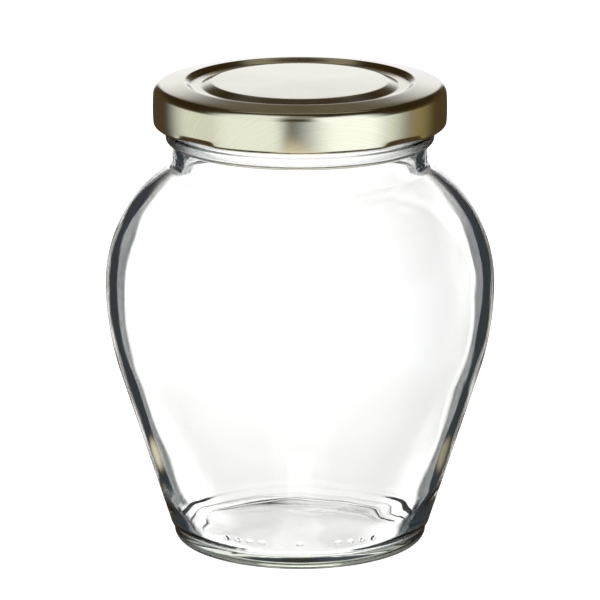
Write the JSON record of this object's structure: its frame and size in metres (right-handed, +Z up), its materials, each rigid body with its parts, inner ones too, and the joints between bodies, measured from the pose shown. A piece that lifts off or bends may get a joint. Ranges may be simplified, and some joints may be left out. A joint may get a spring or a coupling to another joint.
{
  "type": "preserving jar",
  "caption": "Round-bellied clear glass preserving jar with a tapered foot, a beaded neck and a gold twist-off lug cap that seals on a soft ring.",
  "frame": {"origin": "middle of the foot, on the plane that the jar stands on", "axes": "+Z up along the jar's axis; the thread lugs lie midway between the X and Y axes"},
  "size_m": [0.0882, 0.0882, 0.1065],
  "materials": {
    "clear_glass": "clear pressed-and-blown soda-lime glass, fire-polished, with a faint green tint in thick places",
    "gold_lacquered_tinplate": "satin rolled tinplate under a transparent pale gold lacquer",
    "sealing_compound": "matt off-white flowed-in sealing compound"
  },
  "bodies": {
    "jar": {"glass_jar": "clear_glass"},
    "seal": {"sealing_ring": "sealing_compound"},
    "cap": {"lug_cap": "gold_lacquered_tinplate"}
  },
  "joints": [
    {"name": "cap_rise", "type": "slide", "parent": "jar", "child": "seal", "axis": [0, 0, 1], "range_m": [0, 0.0256]},
    {"name": "cap_twist", "type": "hinge", "parent": "seal", "child": "cap", "pos_m": [0, 0, 0.1], "axis": [0, 0, 1], "range_deg": [0, 540]}
  ],
  "couplings": [
    {"joint": "cap_rise", "follows": "cap_twist", "m_per_rad": 0.0027056}
  ]
}
